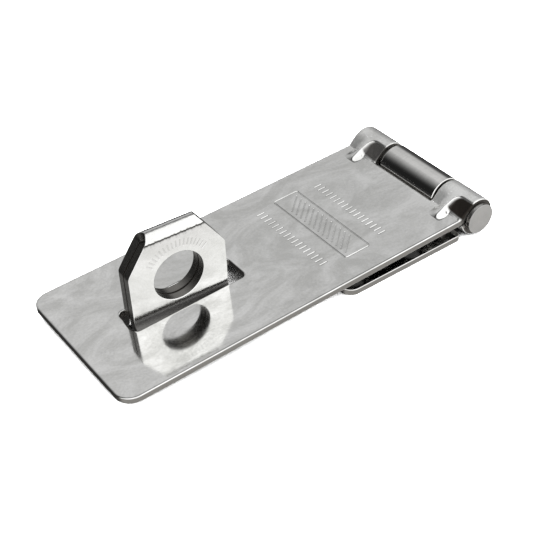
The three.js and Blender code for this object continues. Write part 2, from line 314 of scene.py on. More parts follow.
# %% A plate from its outlines
def plate(name, surface, thickness, edges, face_points, back_points, worked=None, painted_shade=None):
    """A closed plate. Each edge is (loop as a function of inset, rings down its wall). The mesh also
    stores which points are sheared wall, stretched by bending, or given painted shade, for its finish."""
    flat, depth, turned, outward, quads = [], [], [], [], []
    face_loops, back_loops, face_ids, back_ids = [], [], [], []
    count = 0
    for loop, rings in edges:
        size = len(loop(0.0))
        around = np.arange(size)
        for k, (inset, down, angle) in enumerate(rings):
            points = loop(inset)
            flat.append(points)
            depth.append(np.full(size, down))
            turned.append(np.full(size, angle))
            ahead = unit(np.roll(points, -1, 0) - np.roll(points, 1, 0))
            outward.append(np.stack([ahead[:, 1], -ahead[:, 0]], 1))
            if k:
                low, high = count + around, count - size + around
                quads.append(np.stack([low, np.roll(low, -1), np.roll(high, -1), high], 1))
            if k in (0, len(rings) - 1):
                (back_loops if k else face_loops).append(points)
                (back_ids if k else face_ids).append(count + around)
            count += size
    for points, down, angle, loops, ids in (
        (face_points, 0.0, 0.0, face_loops, face_ids),
        (back_points, thickness, np.pi, back_loops, back_ids),
    ):
        flat.append(points)
        depth.append(np.full(len(points), down))
        turned.append(np.full(len(points), angle))
        outward.append(np.tile([1.0, 0.0], (len(points), 1)))
        ids.append(count + np.arange(len(points)))
        count += len(points)
    faces = np.concatenate(face_ids)[fill(face_loops, face_points)]
    backs = np.concatenate(back_ids)[fill(back_loops, back_points)][:, ::-1]

    s, y = np.concatenate(flat).T
    depth, turned = np.concatenate(depth), np.concatenate(turned)
    side = np.concatenate(outward)
    along, across, up = frames(surface, s, y, depth)
    wall = unit(along * side[:, :1] + across * side[:, 1:])
    normals = np.cos(turned)[:, None] * up + np.sin(turned)[:, None] * wall
    finish = {
        "sheared": (np.abs(turned - np.pi / 2) < 0.05).astype(float),
        "worked": worked(s, y) if worked else np.zeros(len(s)),
        "painted_shade": painted_shade(s, y, depth) if painted_shade else np.zeros(len(s)),
    }
    polygons = np.concatenate(quads).tolist() + faces.tolist() + backs.tolist()
    return mesh_piece(name, surface(s, y, depth), polygons, normals, finish)


def mesh_piece(name, points, polygons, normals, finish):
    """Puts points in millimetres and polygons into a new object at the origin, smooth shaded."""
    mesh = bpy.data.meshes.new(name)
    mesh.from_pydata((points * MM).tolist(), [], polygons)
    mesh.polygons.foreach_set("use_smooth", np.ones(len(mesh.polygons), bool))
    for key, values in finish.items():
        mesh.attributes.new(key, "FLOAT", "POINT").data.foreach_set("value", values)
    mesh.normals_split_custom_set_from_vertices(unit(normals).tolist())
    piece = bpy.data.objects.new(name, mesh)
    bpy.context.scene.collection.objects.link(piece)
    mesh.calc_loop_triangles()
    print(f"{name}: {len(points)} points, {len(mesh.loop_triangles)} triangles")
    return piece


# %% Placing a bent plate
def turned_about_hinge(x, y, z, angle):
    """Local points about the hinge axis, turned by the angle about it and put in place."""
    return np.stack([
        HINGE_AXIS[0] + x * np.cos(angle) - z * np.sin(angle),
        HINGE_AXIS[1] + y,
        HINGE_AXIS[2] + x * np.sin(angle) + z * np.cos(angle),
    ], 1)


# %% [markdown]
# ## The flap's bends
#
# Seen from the side, the flap is flat, rises to the hinge up a straight 46 degree slope, and rolls
# round the pin. Distance along its top face is s: it equals x on the flat part and then runs on as
# length along the fillet, the slope and the roll. Each stretch needs only one angle, which falls from
# zero to the slope and then rises all the way round.

# %% The flap seen from the side
ROLL_START = np.pi / 2 + RISE_SLOPE
RISE_TOP = BARREL_RADIUS * np.array([-np.sin(RISE_SLOPE), np.cos(RISE_SLOPE)])
RISE_FOOT_X = RISE_TOP[0] - (RISE_TOP[1] - FLAP_RISE) / np.tan(RISE_SLOPE)
FILLET_X = RISE_FOOT_X - RISE_FILLET * np.tan(RISE_SLOPE / 2)
FILLET_Z = FLAP_RISE + RISE_FILLET
FILLET_END = FILLET_X + RISE_FILLET * RISE_SLOPE
FILLET_TIP = np.array([FILLET_X, FILLET_Z])
FILLET_TIP = FILLET_TIP + RISE_FILLET * np.array([np.sin(RISE_SLOPE), -np.cos(RISE_SLOPE)])
RISE_LENGTH = np.linalg.norm(RISE_TOP - FILLET_TIP)
ROLL_S = FILLET_END + RISE_LENGTH
FLAP_END_S = ROLL_S + BARREL_RADIUS * (ROLL_START - FLAP_ROLL_END)


def flap_side(s, depth):
    """The flap's x and z about the hinge axis: line, arc, line, arc, each entered where s says."""
    fillet = np.clip((s - FILLET_X) / RISE_FILLET, 0, RISE_SLOPE)
    rise = np.clip(s - FILLET_END, 0, RISE_LENGTH)
    angle = ROLL_START - np.clip(s - ROLL_S, 0, None) / BARREL_RADIUS
    on_plate = np.minimum(s, FILLET_X)
    x = on_plate + (RISE_FILLET + depth) * np.sin(fillet) + rise * np.cos(RISE_SLOPE)
    z = FILLET_Z - (RISE_FILLET + depth) * np.cos(fillet) + rise * np.sin(RISE_SLOPE)
    rolled = s > ROLL_S
    x = np.where(rolled, (BARREL_RADIUS - depth) * np.cos(angle), x)
    z = np.where(rolled, (BARREL_RADIUS - depth) * np.sin(angle), z)
    return x, z


print(f"rise starts {-FILLET_X:.2f} mm behind the axis; the roll takes {FLAP_END_S - ROLL_S:.1f} mm")

# %% [markdown]
# ## Beads and stamped marks
#
# A bead pressed up across each rise keeps the flap from being bent open. Its crest is a straight line
# that leaves the plate at a rounded end and touches the barrel, so its height is that line's height
# over the sheet, faded across its width as a squared cosine. On its near side the sheet falls from
# the crest into a shallow pocket.
#
# The stamp is plain: a long square-cornered panel of slanted hatching between two rows of even ticks,
# with no lettering. A stamped line is a shallow groove: its depth fades with the distance from the
# line's middle, so the whole stamp is one distance formula.

# %% Pressed beads
BEAD_Y = HALF_WIDTH - 5.8
BEAD_HALF_WIDTH = 3.3
BEAD_TIP = -10.7  # x of its rounded end
BEAD_END_LENGTH = 1.5
BEAD_END_POWER = 0.6  # under 1, so the end is blunt
BEAD_REACH = 6.2  # from the crest, past which the sheet is plain
BEAD_SLOPE = np.radians(18.3)
POCKET_FOOT, POCKET_TOP = -6.7, -1.2  # x where a pocket's floor starts, and where its wall ends
POCKET_CORNER = 2.6
POCKET_SLOPE = np.radians(31.7)
POCKET_TILT = 0.1  # fall towards the near side
POCKET_REACH, POCKET_FADE = 5.9, 1.2  # where its floor ends, and over how far it fades out there
POCKET_WALL_X, POCKET_WALL_WIDTH = (-8, -5.5, -2), (2.4, 1.3, 0.9)  # the wall narrows uphill
BARREL_TOP_S = ROLL_S + BARREL_RADIUS * RISE_SLOPE


def bead_crest(x, base):
    """Height of the crest over the sheet: a line touching the barrel, with a rounded tip."""
    crest = BARREL_RADIUS / np.cos(BEAD_SLOPE) + x * np.tan(BEAD_SLOPE)
    crest = np.where(x < -BARREL_RADIUS * np.sin(BEAD_SLOPE), np.maximum(crest - base, 0), 0)
    from_tip = np.clip((x - BEAD_TIP) / BEAD_END_LENGTH, 0, 1)
    return crest * (from_tip * (2 - from_tip)) ** BEAD_END_POWER


def pocket_distance(x, off):
    """How far inside a pocket's rounded corner: off is how far in front of the bead's crest."""
    behind = POCKET_TOP - x
    corner = POCKET_CORNER - np.hypot(np.maximum(POCKET_CORNER - off, 0),
                                      np.maximum(POCKET_CORNER - behind, 0))
    return np.where((off < POCKET_CORNER) | (behind < POCKET_CORNER), corner,
                    np.minimum(off, behind))


def pressed_height(s, y):
    """Height over the plain sheet. Behind each crest it fades as a squared cosine. In front, a wall
    falls by the same curve from the crest to the pocket's floor, a slope that cuts off the bend."""
    x, base = flap_side(s, 0.0)
    crest = bead_crest(x, base)
    floor = np.maximum(x - POCKET_FOOT, 0) * np.tan(POCKET_SLOPE) + FLAP_RISE - base
    wall = np.interp(x, POCKET_WALL_X, POCKET_WALL_WIDTH)
    total = np.zeros_like(x)
    for middle in (-BEAD_Y, BEAD_Y):
        off = middle - y
        within = pocket_distance(x, off)
        reach = np.clip((POCKET_REACH - off) / POCKET_FADE, 0, 1)
        behind = crest * np.cos(np.pi / 2 * np.clip(off / BEAD_HALF_WIDTH, -1, 0)) ** 2
        share = np.cos(np.pi / 2 * np.clip(within / wall, 0, 1)) ** 2
        sunk = floor - POCKET_TILT * np.clip(within - wall, 0, None) * np.clip(x - POCKET_FOOT, 0, 1)
        front = crest * share + sunk * (1 - share) * reach
        total = total + np.where(within > 0, front, behind) * (np.abs(off) < BEAD_REACH)
    return np.where(s < BARREL_TOP_S, total, 0)


WORKED_LEAD, WORKED_FADE = 1.2, 1.5  # how far before the bend the matt starts, and its blend


def worked(s, y):
    """One where the sheet was stretched matt round the knuckles, zero on flat and in the pockets."""
    bent = np.clip((s - FILLET_X + WORKED_LEAD) / WORKED_FADE, 0, 1)
    for middle in (-BEAD_Y, BEAD_Y):
        off = middle - y
        shiny = np.clip(pocket_distance(flap_side(s, 0.0)[0], off) / 0.3 + 0.5, 0, 1)
        bent = bent * (1 - shiny * (np.abs(off) < BEAD_REACH) * (s < BARREL_TOP_S))
    return bent


# %% Stamped marks on the flap
PANEL_S, PANEL_HALF_LENGTH, PANEL_HALF_WIDTH, PANEL_CORNER = -34.6, 15.6, 4.0, 0.7
HATCH_STEP, HATCH_LENGTH, HATCH_LEAN = 1.9, 5.2, 0.9
TICK_STEP, TICK_LENGTH, TICKS_FROM_PANEL = 1.7, 2.2, 9.8
GROOVE_HALF_WIDTH, GROOVE_DEPTH = 0.3, 0.15


def strokes(s, y_values, length, lean=0.0):
    """Straight strokes along s, one at each y, as rows of (s0, y0, s1, y1). Lean slants them in y."""
    y = np.asarray(y_values, float)
    half = np.full(len(y), length / 2)
    return np.stack([s - half, y - lean * half, s + half, y + lean * half], 1)


FLAP_STROKES = np.concatenate([
    strokes(PANEL_S, np.arange(-6, 7) * HATCH_STEP, HATCH_LENGTH, HATCH_LEAN),
    strokes(PANEL_S + TICKS_FROM_PANEL, np.arange(-8, 9) * TICK_STEP, TICK_LENGTH),
    strokes(PANEL_S - TICKS_FROM_PANEL, np.arange(-8, 9) * TICK_STEP, TICK_LENGTH),
])


def stroke_distance(s, y, rows):
    """Distance to the nearest stroke: to the point of each segment that is closest, then the least."""
    best = np.full(s.shape, 99.0)
    for s0, y0, s1, y1 in rows:
        length = (s1 - s0) ** 2 + (y1 - y0) ** 2
        share = np.clip(((s - s0) * (s1 - s0) + (y - y0) * (y1 - y0)) / length, 0, 1)
        best = np.minimum(best, np.hypot(s - s0 - share * (s1 - s0), y - y0 - share * (y1 - y0)))
    return best


def panel_distance(s, y):
    """Distance to the panel's outline: past its corners' centres both ways, less the corner radius."""
    past_s = np.abs(s - PANEL_S) - PANEL_HALF_WIDTH + PANEL_CORNER
    past_y = np.abs(y) - PANEL_HALF_LENGTH + PANEL_CORNER
    outside = np.hypot(np.maximum(past_s, 0), np.maximum(past_y, 0))
    return np.abs(outside + np.minimum(np.maximum(past_s, past_y), 0) - PANEL_CORNER)


def flap_mark_distance(s, y):
    """Distance to the nearest stamped line: the panel's outline, its hatching and the ticks."""
    return np.minimum(panel_distance(s, y), stroke_distance(s, y, FLAP_STROKES))


def groove(distance):
    """Depth of a stamped line: full in its middle, fading smoothly to nothing at its sides."""
    share = np.clip(distance / GROOVE_HALF_WIDTH, 0, 1)
    return GROOVE_DEPTH * (1 - share ** 2) ** 2


# Painted shade: how dark the pockets, the stamp's grooves and the knuckles' end faces are made.
POCKET_PAINTED_SHADE = ((-BEAD_Y, 1.0), (BEAD_Y, 0.85))  # each bead's y, and the darkest painted shade in its pocket
STAMP_PAINTED_SHADE, END_FACE_PAINTED_SHADE = 0.12, 0.8


def pocket_painted_shade(s, y):
    """Painted shade in the pockets, more in the near one, that starts just after the floor leaves the
    plate and just inside the pocket's rim, both as straight ramps."""
    x = flap_side(s, 0.0)[0]
    total = np.zeros_like(x)
    for middle, most in POCKET_PAINTED_SHADE:
        off = middle - y
        share = np.clip(pocket_distance(x, off) / 0.5 - 0.4, 0, 1) * np.clip((x + 6.1) / 0.6, 0, 1)
        total = np.maximum(total, most * share * (off < BEAD_REACH))
    return total * (s < BARREL_TOP_S)


def flap_painted_shade(s, y, depth):
    """A little painted shade in the stamp's grooves, and much more on the knuckles' end faces and in
    the pockets.
    """
    in_stamp = groove(flap_mark_distance(s, y)) / GROOVE_DEPTH * (depth < FLAP_THICKNESS / 2)
    end_face = (np.abs(y) > HALF_WIDTH - 0.01) & (s > ROLL_S) & (depth > 0.1)
    in_pocket = pocket_painted_shade(s, y) * (depth < FLAP_THICKNESS / 2)
    return np.maximum(np.maximum(STAMP_PAINTED_SHADE * in_stamp, END_FACE_PAINTED_SHADE * end_face), in_pocket)


# %% The flap's surface
def flap_surface(s, y, depth):
    """Side curve carried across the width, raised by the beads and pressed in by the stamp."""
    x, z = flap_side(s, depth)
    z = z + pressed_height(s, y)
    z = z - np.where(depth < FLAP_THICKNESS / 2, groove(flap_mark_distance(s, y)), 0)
    return turned_about_hinge(x, y, z, FLAP_DROOP)


# %% Flap
FLAP_BEND_ROWS = np.concatenate([
    spread(BEAD_TIP - 1, FILLET_X - 0.2, 0.2),
    spread(FILLET_X, FILLET_END, 0.07),
    spread(FILLET_END, BARREL_TOP_S, 0.2)[1:],
    spread(BARREL_TOP_S, FLAP_END_S, 0.36)[1:],
])
FLAP_ROWS = np.concatenate([spread(-FLAP_REACH + 0.5, BEAD_TIP - 2, 2), FLAP_BEND_ROWS])
FLAP_COLUMNS = spread(-HALF_WIDTH + 0.4, HALF_WIDTH - 0.4, 0.25)
KNUCKLE_INNER = KNUCKLE_OPENING / 2

flap_rim = [
    (-FLAP_REACH, -HALF_WIDTH, FLAP_CORNER_RADIUS),
    (FLAP_END_S, -HALF_WIDTH, KNUCKLE_CORNER_RADIUS),
    (FLAP_END_S, -KNUCKLE_INNER, KNUCKLE_CORNER_RADIUS),
    (-FLAP_OPENING_END, -KNUCKLE_INNER, OPENING_CORNER_RADIUS),
    (-FLAP_OPENING_END, KNUCKLE_INNER, OPENING_CORNER_RADIUS),
    (FLAP_END_S, KNUCKLE_INNER, KNUCKLE_CORNER_RADIUS),
    (FLAP_END_S, HALF_WIDTH, KNUCKLE_CORNER_RADIUS),
    (-FLAP_REACH, HALF_WIDTH, FLAP_CORNER_RADIUS),
]
slot_rim = [
    (-SLOT_FREE_END, -SLOT_WIDTH / 2, SLOT_CORNER_RADIUS),
    (-SLOT_FREE_END, SLOT_WIDTH / 2, SLOT_CORNER_RADIUS),
    (-SLOT_HINGE_END, SLOT_WIDTH / 2, SLOT_CORNER_RADIUS),
    (-SLOT_HINGE_END, -SLOT_WIDTH / 2, SLOT_CORNER_RADIUS),
]
flap_stations = (FLAP_ROWS, FLAP_COLUMNS)
flap_edges = [
    (lambda inset: rounded_outline(flap_rim, flap_stations, inset), flap_edge),
    (lambda inset: rounded_outline(slot_rim, flap_stations, inset), flap_edge),
]


def in_metal(points, edges, gap):
    """The points that lie in the metal and further than the gap from every outline."""
    loops = [loop(rings[0][0]) for loop, rings in edges]
    loops += [loop(rings[-1][0]) for loop, rings in edges]
    here = inside(points, loops[:len(edges)]) & inside(points, loops[len(edges):])
    points = points[here]
    return points[clear_of(points, np.concatenate(loops), gap)]


flat_grid = grid(FLAP_ROWS[FLAP_ROWS < BEAD_TIP - 1.5], spread(-HALF_WIDTH + 1, HALF_WIDTH - 1, 2))
bend_grid = in_metal(grid(FLAP_BEND_ROWS, FLAP_COLUMNS), flap_edges, 0.05)
coarse_grid = in_metal(flat_grid, flap_edges, 0.8)
fine_grid = grid(spread(-45.8, -22, 0.13), spread(-21, 21, 0.13))
near_marks = flap_mark_distance(*fine_grid.T) < GROOVE_HALF_WIDTH + 0.12
away_from_marks = flap_mark_distance(*coarse_grid.T) > GROOVE_HALF_WIDTH + 0.3
flap = plate(
    "flap_plate", flap_surface, FLAP_THICKNESS, flap_edges,
    np.concatenate([coarse_grid[away_from_marks], fine_grid[near_marks], bend_grid]),
    np.concatenate([coarse_grid, bend_grid]),
    worked, flap_painted_shade,
)
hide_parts("flap")
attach(flap, "flap_and_pin")

# %% [markdown]
# ## The fixed leaf
#
# The leaf is a second plate, bent the other way: its underside lies on the door and runs on as the
# outside of the middle knuckle. Its face is therefore the underside here, s runs along that, and y is
# turned round so that the normal still points out of the metal.

# %% The leaf's surface
LEAF_THICKNESS = 1.9
LEAF_FREE_END, LEAF_HINGE_END = 43.9, 5.45
LEAF_CORNER_RADIUS, LEAF_SHOULDER_RADIUS = 3.2, 1.4
LEAF_ROLL_END = np.radians(216)
LEAF_KNUCKLE_NEAR, LEAF_KNUCKLE_FAR, LEAF_KNUCKLE_CORNER = -11.1, 10.4, 0.4
LEAF_FACE_ROUND, LEAF_BACK_ROUND = (0.34, 0.3), (0.22, 0.22)
LEAF_END_S = BARREL_RADIUS * (LEAF_ROLL_END + np.pi / 2)
LEAF_SCREWS = [(x, y) for x in (-35, -14.5) for y in (-14, 14)]
SCREW_HOLE_RADIUS, COUNTERSINK_RADIUS = 2.4, 4.3


def leaf_surface(s, y, depth):
    """Flat up to the axis, then round it: the angle grows from straight down with s."""
    angle = np.clip(s, 0, None) / BARREL_RADIUS - np.pi / 2
    x = np.minimum(s, 0) + (BARREL_RADIUS - depth) * np.cos(angle)
    z = (BARREL_RADIUS - depth) * np.sin(angle)
    return turned_about_hinge(x, -y, z, 0.0)


# %% Fixed leaf
leaf_bend_rows = spread(0, LEAF_END_S, 0.36)
leaf_rows = np.concatenate([spread(-LEAF_FREE_END + 1, -1, 1.5), leaf_bend_rows])
leaf_columns = spread(-HALF_WIDTH + 0.5, HALF_WIDTH - 0.5, 0.5)
leaf_rim = [
    (-LEAF_FREE_END, -HALF_WIDTH, LEAF_CORNER_RADIUS),
    (-LEAF_HINGE_END, -HALF_WIDTH, LEAF_SHOULDER_RADIUS),
    (-LEAF_HINGE_END, -LEAF_KNUCKLE_FAR, LEAF_KNUCKLE_CORNER),
    (LEAF_END_S, -LEAF_KNUCKLE_FAR, LEAF_KNUCKLE_CORNER),
    (LEAF_END_S, -LEAF_KNUCKLE_NEAR, LEAF_KNUCKLE_CORNER),
    (-LEAF_HINGE_END, -LEAF_KNUCKLE_NEAR, LEAF_KNUCKLE_CORNER),
    (-LEAF_HINGE_END, HALF_WIDTH, LEAF_SHOULDER_RADIUS),
    (-LEAF_FREE_END, HALF_WIDTH, LEAF_CORNER_RADIUS),
]
leaf_edges = [(
    lambda inset: rounded_outline(leaf_rim, (leaf_rows, leaf_columns), inset),
    rolled_edge(LEAF_THICKNESS, LEAF_FACE_ROUND, LEAF_BACK_ROUND),
)]
leaf_edges += [
    (round_hole(place, SCREW_HOLE_RADIUS, 64),
     countersink(LEAF_THICKNESS, COUNTERSINK_RADIUS, SCREW_HOLE_RADIUS, wide_at_face=False))
    for place in LEAF_SCREWS
]
leaf_points = np.concatenate([
    in_metal(grid(leaf_rows[leaf_rows < -0.5], spread(-22, 22, 1.5)), leaf_edges, 0.5),
    in_metal(grid(leaf_bend_rows, leaf_columns), leaf_edges, 0.05),
])
leaf = plate("leaf_plate", leaf_surface, LEAF_THICKNESS, leaf_edges, leaf_points, leaf_points)
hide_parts("fixed_leaf")
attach(leaf, "leaf_and_staple")

# %% [markdown]
# ## The hinge pin
#
# The pin is turned rod: a flat head with a fine rounded rim at the near end, a plain shank inside the
# knuckles, and a low riveted dome at the far end. A turned part is a profile of radius against length
# carried round the axis, so the mesh is one grid with a pole at each end.

# %% Hinge pin
PIN_RADIUS, PIN_HEAD_RADIUS, PIN_HEAD_PROUD = 3.1, 4.28, 1.5
PIN_RIVET_RADIUS, PIN_RIVET_PROUD = 3.9, 0.9
PIN_PLAY = 0.3
PIN_STEPS = 128


def quarter(radius, y, edge, start, end):
    """Profile points along a small arc whose outside corner is at that radius and y."""
    a = np.linspace(start, end, 7)
    return np.stack([radius - edge + edge * np.cos(a), y + edge * np.sin(a)], 1)


def pin_profile():
    """Radius and y down the pin, from the middle of its head to the middle of its riveted end."""
    head, far = -HALF_WIDTH - PIN_HEAD_PROUD, HALF_WIDTH + PIN_PLAY
    rim = 0.14
    dish = np.linspace(0.02, PIN_HEAD_RADIUS - 2 * rim, 16)
    face = np.stack([dish, head + 0.05 * (1 - (dish / dish[-1]) ** 2)], 1)
    dome = np.linspace(0, np.pi / 2, 12)
    rivet_height = PIN_RIVET_PROUD - PIN_PLAY
    return np.concatenate([
        face,
        quarter(PIN_HEAD_RADIUS, head + rim, rim, -np.pi / 2, 0),
        quarter(PIN_HEAD_RADIUS, -HALF_WIDTH - PIN_PLAY - 0.1, 0.1, 0, np.pi / 2),
        [(PIN_RADIUS + 0.1, -HALF_WIDTH - PIN_PLAY), (PIN_RADIUS, -HALF_WIDTH - PIN_PLAY + 0.1)],
        [(PIN_RADIUS, far - 0.1), (PIN_RADIUS + 0.1, far)],
        np.stack([PIN_RIVET_RADIUS * np.cos(dome), far + rivet_height * np.sin(dome)], 1)[:-1],
        [(0.02, far + rivet_height)],
    ])


def turned_part(name, profile):
    """The profile carried round the hinge axis; each normal is the profile's own, turned outwards."""
    angle = np.linspace(0, 2 * np.pi, PIN_STEPS, endpoint=False)
    slope = np.gradient(profile, axis=0)
    tilt = unit(np.stack([slope[:, 1], -slope[:, 0]], 1))
    spin = np.stack([np.cos(angle), np.sin(angle)], 1)
    rows, turns = len(profile), PIN_STEPS
    radius, y = np.repeat(profile, turns, 0).T
    lean, look = np.repeat(tilt, turns, 0).T
    x_share, z_share = np.tile(spin, (rows, 1)).T
    points = turned_about_hinge(radius * x_share, y, radius * z_share, 0.0)
    normals = np.stack([lean * x_share, look, lean * z_share], 1)
    ids = np.arange(rows * turns).reshape(rows, turns)
    after = np.roll(ids, -1, 1)
    quads = np.stack([ids[:-1], ids[1:], after[1:], after[:-1]], 2).reshape(-1, 4)
    poles = [ids[0].tolist(), ids[-1][::-1].tolist()]
    side = (np.abs(look) < 0.5).astype(float)
    return mesh_piece(name, points, quads.tolist() + poles, normals, {"worked": side})


pin = turned_part("pin_rod", pin_profile())
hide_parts("hinge_pin")
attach(pin, "flap_and_pin")

# %% [markdown]
# ## The staple
#
# The staple is one hardened strip, folded double with its fold on top and its ends turned out as
# feet. Both legs lie against each other with a hairline seam, and the shackle hole is punched through
# both. Unfolded, it is a long plate again: foot, bend, leg, fold, leg, bend and foot. The distance
# from the middle of the fold gives the shape of one half, and its sign gives the side. The slanted
# shoulders are cut by height, so they are a formula for the half width.

# %% The staple unfolded
STRIP_THICKNESS, SEAM_HALF = 2.6, 0.07
STAPLE_TO_HINGE = 80.2
STAPLE_PLACE = np.array([HINGE_AXIS[0] - STAPLE_TO_HINGE, HINGE_AXIS[1]])
STAPLE_YAW = np.radians(-3)
STAPLE_HALF_WIDTH = 13.5
FOLD_HEIGHT, SEAM_TOP, SQUEEZE_START = 1.9, 25.6, 21.0
FOLD_POWER = 1.35  # over 1, so the fold's flanks are flatter than an ellipse's
FOOT_BEND_RADIUS, FOOT_END, FOOT_CORNER_RADIUS = 1.6, 19.0, 3.0
SHOULDER_START, SHOULDER_SLOPE = 18.3, 1.45
SHACKLE_HOLE_RADIUS, SHACKLE_HOLE_HEIGHT = 6.93, 13.5
FOOT_SCREWS = [(x, y) for x in (-7.3, 7.3) for y in (-12.6, 12.6)]

LEG_FACE = SEAM_HALF + STRIP_THICKNESS
FOLD_START = STAPLE_HEIGHT - FOLD_HEIGHT
FOLD_S = np.pi / 2 * np.sqrt((LEG_FACE ** 2 + FOLD_HEIGHT ** 2) / 2)
BEND_START = STRIP_THICKNESS + FOOT_BEND_RADIUS
LEG_S = FOLD_S + FOLD_START - BEND_START
BEND_S = LEG_S + FOOT_BEND_RADIUS * np.pi / 2
STRIP_END_S = BEND_S + FOOT_END - LEG_FACE - FOOT_BEND_RADIUS


def strip_height(q):
    """Height of the outside face at distance q from the middle of the fold, down to the bend."""
    over = np.clip(q / FOLD_S, 0, 1) * np.pi / 2
    rise = FOLD_HEIGHT * np.cos(over) ** FOLD_POWER
    return FOLD_START + rise - np.clip(q - FOLD_S, 0, LEG_S - FOLD_S)


def strip_side(s, depth):
    """The strip's y and z: flattened quarter ellipse, straight leg, quarter circle, straight foot."""
    q = np.abs(s)
    over = np.clip(q / FOLD_S, 0, 1) * np.pi / 2
    bend = np.clip((q - LEG_S) / FOOT_BEND_RADIUS, 0, np.pi / 2)
    inner = depth / STRIP_THICKNESS
    outside_z = strip_height(q)
    squeeze = np.clip((outside_z - SQUEEZE_START) / (FOLD_START - SQUEEZE_START), 0, 1)
    inside_z = np.minimum(outside_z, FOLD_START) - squeeze * (FOLD_START - SEAM_TOP)
    inside_z = inside_z + SEAM_HALF * np.cos(over) * (q < FOLD_S)
    leg_y = ((1 - inner) * LEG_FACE + inner * SEAM_HALF) * np.sin(over) ** FOLD_POWER
    radius = FOOT_BEND_RADIUS + depth
    y = leg_y + radius * (1 - np.cos(bend)) + np.clip(q - BEND_S, 0, None)
    z = (1 - inner) * outside_z + inner * inside_z - radius * np.sin(bend)
    return np.sign(s) * y, z


SHOULDER_BLEND = 0.35


def half_width(q):
    """Half the strip's width: the lesser of the full half width and the shoulder line, blended."""
    shoulder = STAPLE_HALF_WIDTH - (strip_height(q) - SHOULDER_START) / SHOULDER_SLOPE
    gap = np.clip(0.5 + (shoulder - STAPLE_HALF_WIDTH) / SHOULDER_BLEND / 2, 0, 1)
    lesser = shoulder * (1 - gap) + STAPLE_HALF_WIDTH * gap
    return lesser - SHOULDER_BLEND * gap * (1 - gap)


# %% Stamp over the shackle hole
STAMP_RADIUS, STAMP_TICK = 9.6, 1.7
stamp_angles = np.radians(np.linspace(38, 142, 17))
stamp_hub = np.array([-(FOLD_S + FOLD_START - SHACKLE_HOLE_HEIGHT), 0.0])
spokes = np.stack([np.sin(stamp_angles), np.cos(stamp_angles)], 1)
stamp_ends = (STAMP_RADIUS - STAMP_TICK / 2, STAMP_RADIUS + STAMP_TICK / 2)
STAPLE_STROKES = np.concatenate([stamp_hub + r * spokes for r in stamp_ends], 1)
CREASE_S, CREASE_HALF_WIDTH, CREASE_DEPTH = -FOLD_S - 0.15, 0.48, 0.18
TICK_DEPTH_SHARE = 0.8  # of a full groove
# Painted shade: its strength in the ticks and in the bends to the feet, and the depth past which the
# legs' facing sides at the seam are dark all over.
TICK_PAINTED_SHADE, BEND_PAINTED_SHADE = 0.2, 0.8
SEAM_PAINTED_SHADE_DEPTH = STRIP_THICKNESS - 0.06


def staple_press(s, y):
    """Stamped ticks, and the crease that folding leaves along the top of the near face. The crease
    wanders as the sum of three sine waves along the strip's width."""
    wander = 0.07 * np.sin(2.9 * y) + 0.06 * np.sin(7.3 * y + 1) + 0.05 * np.sin(17 * y)
    share = np.clip(np.abs(s - CREASE_S - wander) / CREASE_HALF_WIDTH, 0, 1)
    crease = CREASE_DEPTH * (1 - share ** 2) ** 2
    return np.maximum(TICK_DEPTH_SHARE * groove(stroke_distance(s, y, STAPLE_STROKES)), crease)


def staple_painted_shade(s, y, depth):
    """Painted shade in the seam and the bends, and in the crease and ticks as the root of their depth.
    """
    in_crease = np.abs(s - CREASE_S) < 2 * CREASE_HALF_WIDTH
    most = np.where(in_crease, 1, TICK_PAINTED_SHADE)
    share = most * np.sqrt(np.clip(staple_press(s, y) / CREASE_DEPTH, 0, 1))
    in_bend = BEND_PAINTED_SHADE * np.clip((np.abs(s) - LEG_S + 1.2) / 0.8, 0, 1)
    in_bend = in_bend * np.clip((BEND_S + 3 - np.abs(s)) / 1.5, 0, 1)
    on_face = np.maximum(share, in_bend) * (depth < 0.5)
    return np.where(depth > SEAM_PAINTED_SHADE_DEPTH, 1.0 * (np.abs(s) < LEG_S), on_face)


def staple_worked(s, y):
    """One on the bends to the feet and on the feet, where the strip was stretched and left matt."""
    return np.clip((np.abs(s) - LEG_S + 1.5) / 1.5, 0, 1)


# %% The staple's surface
def staple_surface(s, y, depth):
    """Side curve carried along the hasp, pressed in on its face, turned a little in the slot."""
    across, z = strip_side(s, depth)
    press = np.where(depth < STRIP_THICKNESS / 2, staple_press(s, y), 0)
    across = across - np.sign(s) * press * (np.abs(s) > FOLD_S / 2)
    x = -y
    return np.stack([
        STAPLE_PLACE[0] + x * np.cos(STAPLE_YAW) - across * np.sin(STAPLE_YAW),
        STAPLE_PLACE[1] + x * np.sin(STAPLE_YAW) + across * np.cos(STAPLE_YAW),
        z,
    ], 1)


# %% Staple
fold_rows = spread(0, FOLD_S, 0.18)
leg_rows = spread(FOLD_S + 0.15, LEG_S - 0.3, 0.6)
foot_rows = np.concatenate([spread(LEG_S, BEND_S, 0.2), spread(BEND_S + 0.5, STRIP_END_S - 0.6, 1)])
half_rows = np.concatenate([fold_rows, leg_rows, foot_rows])
strip_rows = np.concatenate([-half_rows[:0:-1], half_rows])
strip_columns = spread(-STAPLE_HALF_WIDTH + 0.6, STAPLE_HALF_WIDTH - 0.6, 0.6)
strip_rim = [
    (sign_s * STRIP_END_S, sign_y * STAPLE_HALF_WIDTH, FOOT_CORNER_RADIUS)
    for sign_s, sign_y in ((-1, -1), (1, -1), (1, 1), (-1, 1))
]


def strip_outline(inset):
    """A rounded rectangle whose long sides are drawn in to the half width at each distance."""
    loop = rounded_outline(strip_rim, (strip_rows, strip_columns), inset)
    drawn_in = STAPLE_HALF_WIDTH - half_width(np.abs(loop[:, 0]))
    return loop - np.stack([0 * drawn_in, np.sign(loop[:, 1]) * drawn_in], 1)


